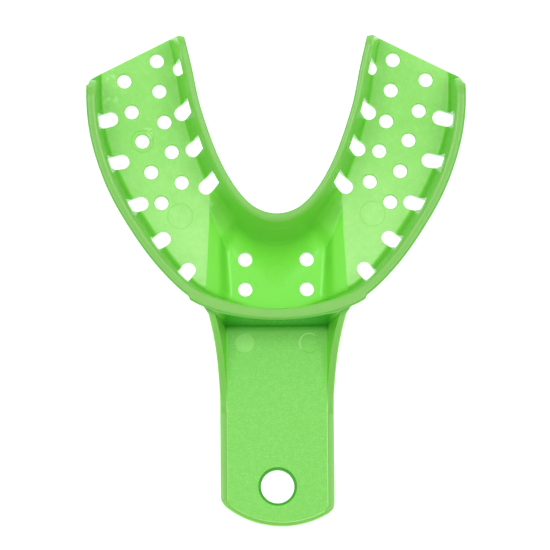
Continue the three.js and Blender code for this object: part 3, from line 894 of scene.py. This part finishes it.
def stage_finish(colours):
    """A plain pale table that glows, as a light table does."""
    shop = Shop("pale table")
    grain = shop.noise(shop.node("ShaderNodeTexCoord", output=3), 40.0)
    shop.feed(shop.shader.inputs["Base Color"], colours.floor)
    shop.feed(shop.shader.inputs["Roughness"], 0.85 + grain * 0.1)
    shop.shader.inputs["Emission Color"].default_value = (1.0, 1.0, 1.0, 1.0)
    shop.shader.inputs["Emission Strength"].default_value = TABLE_GLOW
    return shop.material


def room_light(world):
    """Soft light from all round, brightest near the horizon, so that the table has no visible end."""
    world.use_nodes = True
    tree = world.node_tree
    place = tree.nodes.new("ShaderNodeTexCoord")
    parts = tree.nodes.new("ShaderNodeSeparateXYZ")
    fade = tree.nodes.new("ShaderNodeMapRange")
    fade.interpolation_type = "SMOOTHSTEP"
    fade.inputs["From Min"].default_value = 0.02
    fade.inputs["From Max"].default_value = 0.35
    fade.inputs["To Min"].default_value = 1.0
    fade.inputs["To Max"].default_value = ROOM_LIGHT
    tree.links.new(place.outputs["Generated"], parts.inputs[0])
    tree.links.new(parts.outputs["Z"], fade.inputs["Value"])
    tree.links.new(fade.outputs[0], tree.nodes["Background"].inputs["Strength"])
    tree.nodes["Background"].inputs["Color"].default_value = (1.0, 1.0, 1.0, 1.0)


# ---- Operators ----
class TRAY_OT_arch(bpy.types.Operator):
    """Rolls a sheet into the trough: outer wall, floor, inner wall and the channel behind the front wall"""
    bl_idname = "tray.arch"
    bl_label = "Arch"

    def execute(self, context):
        sizes = context.scene.tray_sizes
        arch = Arch(sizes.floor_height / MM, sizes.floor_thickness / MM)
        piece = add_sheet("tray_arch", arch.rings())
        close_end(piece, 30, 60)
        mirror_across(piece)
        turn_outwards(piece)
        return {"FINISHED"}


def grip_outline(half, radius, corner):
    """The handle's outline in plan: level sides, and an end that is an arc with softened corners."""
    centre_y = HANDLE_END + END_ARC_RADIUS
    points = []

    def arc_y(x):
        return centre_y - math.sqrt(radius**2 - (x - END_ARC_CENTRE) ** 2)

    left, right = -half, half
    points += [(left, y) for y in np.linspace(GRIP_REACH, arc_y(left) + corner, 24)[:-1]]
    points += bend((left, arc_y(left) + corner), (left, arc_y(left)),
                   (left + corner, arc_y(left + corner)), 6)
    points += [(x, arc_y(x)) for x in np.linspace(left + corner, right - corner, 34)[1:-1]]
    points += bend((right - corner, arc_y(right - corner)), (right, arc_y(right)),
                   (right, arc_y(right) + corner), 6)
    points += [(right, y) for y in np.linspace(arc_y(right) + corner, GRIP_REACH, 24)[1:]]
    return points


class TRAY_OT_grip(bpy.types.Operator):
    """Draws the handle's outline, extrudes the ledge and the raised pad from it, and rounds their edges"""
    bl_idname = "tray.grip"
    bl_label = "Grip"

    def execute(self, context):
        outline = grip_outline(GRIP_HALF, END_ARC_RADIUS, GRIP_CORNER)
        inner = grip_outline(PAD_HALF, END_ARC_RADIUS - PAD_INSET_END, PAD_CORNER)
        deselect_all()
        bpy.ops.mesh.primitive_circle_add(vertices=len(outline), radius=1, fill_type="NGON")
        piece = context.object
        piece.name = piece.data.name = "tray_grip"
        for vertex, (px, py) in zip(piece.data.vertices, outline):
            vertex.co = Vector((px, py, 0)) * MM
        edit_everything()
        bpy.ops.mesh.extrude_region_move(TRANSFORM_OT_translate={"value": (0, 0, LEDGE_TOP * MM)})
        bpy.ops.mesh.inset(thickness=0.3 * MM)
        bpy.ops.object.mode_set(mode="OBJECT")
        corners = [Vector((*point, LEDGE_TOP)) for point in outline]
        pad = [v for v in piece.data.vertices if v.select]
        for vertex in pad:
            place = vertex.co / MM
            nearest = min(range(len(corners)), key=lambda i: (corners[i] - place).length)
            vertex.co = Vector((*inner[nearest], LEDGE_TOP)) * MM
        bpy.ops.object.mode_set(mode="EDIT")
        pad_height = (CHANNEL_TOP - LEDGE_TOP) * MM
        bpy.ops.mesh.extrude_region_move(TRANSFORM_OT_translate={"value": (0, 0, pad_height)})
        bpy.ops.object.mode_set(mode="OBJECT")
        for level, offset in GRIP_EDGES:
            def on_level(a, b, level=level):
                flat = abs(a.z - level) < ON_LEVEL and abs(b.z - level) < ON_LEVEL
                at_side = max(abs(a.x), abs(b.x)) > GRIP_HALF - ON_LEVEL
                outer = level == CHANNEL_TOP or at_side or is_end(a) and is_end(b)
                return flat and outer and max(a.y, b.y) < GRIP_REACH - ON_LEVEL

            def is_end(p):
                away = math.hypot(p.x - END_ARC_CENTRE, p.y - HANDLE_END - END_ARC_RADIUS)
                return away > END_ARC_RADIUS - 0.35 and p.y < HANDLE_END + END_ARC_RADIUS

            select_edges(piece, on_level)
            bpy.ops.mesh.bevel(offset=offset * MM, segments=4, affect="EDGES", clamp_overlap=True)
            bpy.ops.object.mode_set(mode="OBJECT")
        turn_outwards(piece)
        return {"FINISHED"}


def flange_top(y):
    """The flange's height: out of the ledge, soon level with the pad, then sweeping up to the front wall."""
    if y < FLANGE_AT_PAD:
        return mix(LEDGE_TOP - 0.12, CHANNEL_TOP, ease((y - FLANGE_START) / (FLANGE_AT_PAD - FLANGE_START)))
    rise = FLANGE_RISE * ((y - FLANGE_AT_PAD) / (WALL_FOOT_Y - FLANGE_AT_PAD)) ** 1.6
    return min(CHANNEL_TOP + rise, FLANGE_LIMIT)


def flange_ring(y):
    """The right flange's section: up its inner face from the pad, over the top and down the outer face."""
    half = float(np.interp(y, [p[0] for p in FLANGE_SPREAD], [p[1] for p in FLANGE_SPREAD]))
    top = flange_top(y)
    rise = max(0.0, top - CHANNEL_TOP)
    side = PAD_HALF - LAP
    thick = mix(half - side - 0.03, FLANGE_WIDTH, ease(rise / 1.5))
    inner = half - thick
    lap = min(CHANNEL_TOP, top) - LAP
    low = 0.5
    foot, edge = min(0.7, 0.45 * (top - lap)), min(FLANGE_EDGE, 0.45 * (top - lap))
    face_low, face_high = (mix(side, inner, foot / (top - lap)), lap + foot), (inner, top - edge)
    points = [np.array((side - 1.6, low)), np.array((side - foot - 0.1, lap - 0.15))]
    points += bend((side - foot, lap), (side, lap), face_low, 5)
    points += [mix(np.array(face_low), np.array(face_high), i / 6) for i in range(1, 7)]
    outer_high = (half, top - FLANGE_EDGE * 0.8)
    points += bend(face_high, (inner, top), (inner + FLANGE_EDGE, top), 4)[1:]
    points += bend((half - FLANGE_EDGE, top), (half, top), outer_high, 4)
    base = np.array((GRIP_HALF - 0.02, LEDGE_TOP * 0.6))
    points += [mix(np.array(outer_high), base, i / 5) for i in range(1, 6)]
    points.append(np.array((GRIP_HALF - 0.35, low)))
    return np.array([(px, y, pz) for px, pz in points])


class TRAY_OT_flanges(bpy.types.Operator):
    """Makes the right stiffening flange of the handle and its mirror image"""
    bl_idname = "tray.flanges"
    bl_label = "Flanges"

    def execute(self, context):
        deselect_all()
        rings = [flange_ring(y) for y in np.linspace(FLANGE_START, FLANGE_REACH, 90)]
        right = add_sheet("right_flange", rings)
        close_end(right, FLANGE_START - 0.1, FLANGE_START + 0.1)
        close_end(right, FLANGE_REACH - 0.1, FLANGE_REACH + 0.1)
        turn_outwards(right)
        bpy.ops.object.duplicate()
        left = context.object
        left.name = left.data.name = "left_flange"
        left.scale.x = -1
        apply_place(left)
        turn_outwards(left)
        return {"FINISHED"}


class TRAY_OT_fuse(bpy.types.Operator):
    """Fuses the arch, the grip and the flanges into the one moulding"""
    bl_idname = "tray.fuse"
    bl_label = "Fuse"

    def execute(self, context):
        moulding = bpy.data.objects["tray_arch"]
        for name in ("tray_grip", "right_flange", "left_flange"):
            combine(moulding, bpy.data.objects[name], "UNION")
        moulding.name = moulding.data.name = "tray_moulding"
        return {"FINISHED"}


def add_spool(x, y, radius, low, high, lip):
    """A cutter for a round hole between two levels, flared past both so that its edges are broken."""
    past = 0.5
    flared = radius + past + lip
    rings = [(low - past, flared), (low + lip, radius), (high - lip, radius), (high + past, flared)]
    deselect_all()
    bpy.ops.mesh.primitive_circle_add(vertices=HOLE_STEPS, radius=rings[0][1] * MM, fill_type="NGON",
                                      location=(x * MM, y * MM, rings[0][0] * MM))
    cutter = bpy.context.object
    edit_everything()
    for (below, wide), (above, narrow) in zip(rings, rings[1:]):
        bpy.ops.mesh.extrude_region_move(TRANSFORM_OT_translate={"value": (0, 0, (above - below) * MM)})
        centre = (x * MM, y * MM, above * MM)
        bpy.ops.transform.resize(value=(narrow / wide, narrow / wide, 1), center_override=centre)
    bpy.ops.object.mode_set(mode="OBJECT")
    turn_outwards(cutter)
    return cutter


def add_slot_cutter(x, y, degrees, length, width):
    """An upright bar with one round and one nearly square end."""
    low = -1.0
    bpy.ops.mesh.primitive_cube_add(size=1, location=(x * MM, y * MM, (low + SLOT_TOP) / 2 * MM),
                                    rotation=(0, 0, math.radians(degrees)),
                                    scale=(length * MM, width * MM, (SLOT_TOP - low) * MM))
    cutter = bpy.context.object
    apply_place(cutter)
    square_end = np.array((math.cos(math.radians(degrees)), math.sin(math.radians(degrees))))
    for vertex in cutter.data.vertices:
        out = np.array(vertex.co.xy) / MM - (x, y)
        ahead = float(np.dot(out, square_end))
        if ahead > 0:
            vertex.co.xy = Vector((x, y) + square_end * ahead + (out - square_end * ahead) * SLOT_TAPER) * MM
    for front, offset, steps in ((True, 0.3, 4), (False, width / 2 - 0.01, 12)):
        def wanted(a, b, front=front):
            upright = abs(a.x - b.x) < ON_LEVEL and abs(a.y - b.y) < ON_LEVEL
            ahead = (a.x - x) * square_end[0] + (a.y - y) * square_end[1]
            return upright and (ahead > length / 2 - 0.05 if front else ahead < -length / 2 + 0.05)

        select_edges(cutter, wanted)
        bpy.ops.mesh.bevel(offset=offset * MM, segments=steps, affect="EDGES", clamp_overlap=True)
        bpy.ops.object.mode_set(mode="OBJECT")
    return cutter


class TRAY_OT_perforate(bpy.types.Operator):
    """Punches the round holes, the slots along the walls and the handle's hole"""
    bl_idname = "tray.perforate"
    bl_label = "Perforate"

    def execute(self, context):
        sizes = context.scene.tray_sizes
        moulding = bpy.data.objects["tray_moulding"]
        radius = sizes.hole_diameter / 2 / MM
        length, width = sizes.slot_length / MM, sizes.slot_width / MM
        cutters = []
        for side in (-1, 1):
            for x, y in ROUND_HOLES:
                in_channel = x < CHANNEL_KNOTS[1][0]
                top = sizes.floor_height / MM
                bottom = 0.0 if in_channel else top - sizes.floor_thickness / MM
                cutters.append(add_spool(side * x, y, radius, bottom, top, LIP))
            for x, y, degrees in OUTER_SLOTS + INNER_SLOTS:
                turned = degrees if side > 0 else 180 - degrees
                cutters.append(add_slot_cutter(side * x, y, turned, length, width))
        cutters.append(add_spool(0, HOLE_Y, HOLE_RADIUS, 0, CHANNEL_TOP, GRIP_LIP))
        combine(moulding, joined(cutters, "punches"), "DIFFERENCE")
        return {"FINISHED"}


class TRAY_OT_finish_moulding(bpy.types.Operator):
    """Smooths the moulding, gives it its plastic and lets it stand for all the regions of the frame"""
    bl_idname = "tray.finish_moulding"
    bl_label = "Finish moulding"

    def execute(self, context):
        moulding = bpy.data.objects["tray_moulding"]
        activate(moulding)
        edit_everything()
        bpy.ops.mesh.remove_doubles(threshold=2e-6)
        bpy.ops.mesh.dissolve_degenerate(threshold=1e-6)
        bpy.ops.object.mode_set(mode="OBJECT")
        bpy.ops.object.shade_smooth_by_angle(angle=math.radians(32))
        moulding.data.materials.clear()
        moulding.data.materials.append(green_plastic(context.scene.tray_sizes, context.scene.tray_colours))
        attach(moulding, BODY)
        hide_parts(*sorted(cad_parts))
        return {"FINISHED"}


VIEW_ELEVATION = math.radians(84)
VIEW_DISTANCE = 3.0
VIEW_WIDTH = 0.110
VIEW_SIDEWAYS = math.radians(1.3)  # and from a little to the left
VIEW_ROLL = math.radians(-0.3)
VIEW_CENTRE = (-0.00017, 0.0013, 0.0)
SENSOR_WIDTH = 36
TABLE_GLOW = 0.95
ROOM_LIGHT = 0.5
TABLE_SIZE = 14
TABLE_GAP = 0.00002  # the table lies this far below the tray
LIGHT_PLACE = (0.6, 0.2, 1.4)  # one softbox there and one opposite
LIGHT_SIZE = 0.8
LIGHT_POWER = 6.5


class TRAY_OT_stage(bpy.types.Operator):
    """Sets out the pale table, the soft light and the camera"""
    bl_idname = "tray.stage"
    bl_label = "Stage"

    def execute(self, context):
        deselect_all()
        bpy.ops.mesh.primitive_plane_add(size=TABLE_SIZE, location=(0, 0, cad_low.z - TABLE_GAP))
        table = context.object
        table.name = "table"
        apply_place(table)
        table.data.materials.append(stage_finish(context.scene.tray_colours))

        for side in (-1, 1):
            self.add_light("softbox", (side * LIGHT_PLACE[0], *LIGHT_PLACE[1:]), LIGHT_SIZE, LIGHT_POWER)
        world = bpy.data.worlds.new("room")
        context.scene.world = world
        room_light(world)

        bpy.ops.object.camera_add()
        camera = context.object
        camera.name = "camera"
        back = Vector((-math.sin(VIEW_SIDEWAYS), -math.cos(VIEW_ELEVATION), math.sin(VIEW_ELEVATION)))
        back.normalize()
        across = (Vector((1, 0, 0)) - back.x * back).normalized()
        camera.location = Vector(VIEW_CENTRE) + back * VIEW_DISTANCE
        turn = Matrix.Rotation(VIEW_ROLL, 3, back) @ Matrix((across, back.cross(across), back)).transposed()
        camera.rotation_euler = turn.to_euler()
        camera.data.sensor_width = SENSOR_WIDTH
        camera.data.lens = SENSOR_WIDTH * VIEW_DISTANCE / VIEW_WIDTH
        camera.data.clip_start, camera.data.clip_end = 0.1, 20
        context.scene.camera = camera
        context.scene.view_settings.view_transform = "Standard"
        return {"FINISHED"}

    @staticmethod
    def add_light(name, place, size, watts):
        bpy.ops.object.light_add(type="AREA", location=place)
        light = bpy.context.object
        light.name = name
        light.data.shape = "SQUARE"
        light.data.size = size
        light.data.energy = watts
        aim = Vector((0, 0, 0)) - Vector(place)
        light.rotation_euler = aim.to_track_quat("-Z", "Y").to_euler()


class TRAY_PT_panel(bpy.types.Panel):
    """The tray's steps, in order, and its sizes and colours"""
    bl_label = "Impression tray"
    bl_space_type = "VIEW_3D"
    bl_region_type = "UI"
    bl_category = "Tray"

    def draw(self, context):
        layout = self.layout
        for operator in STEPS:
            layout.operator(operator.bl_idname)
        for group in (context.scene.tray_sizes, context.scene.tray_colours):
            for name in group.__annotations__:
                layout.prop(group, name)


STEPS = (TRAY_OT_arch, TRAY_OT_grip, TRAY_OT_flanges, TRAY_OT_fuse, TRAY_OT_perforate,
         TRAY_OT_finish_moulding, TRAY_OT_stage)
CLASSES = (TRAY_PG_sizes, TRAY_PG_colours, *STEPS, TRAY_PT_panel)


def register():
    for item in CLASSES:
        bpy.utils.register_class(item)
    bpy.types.Scene.tray_sizes = bpy.props.PointerProperty(type=TRAY_PG_sizes)
    bpy.types.Scene.tray_colours = bpy.props.PointerProperty(type=TRAY_PG_colours)


def unregister():
    del bpy.types.Scene.tray_colours
    del bpy.types.Scene.tray_sizes
    for item in reversed(CLASSES):
        bpy.utils.unregister_class(item)


def main():
    register()
    for step in STEPS:
        family, name = step.bl_idname.split(".")
        getattr(getattr(bpy.ops, family), name)()


if __name__ == "__main__":
    main()
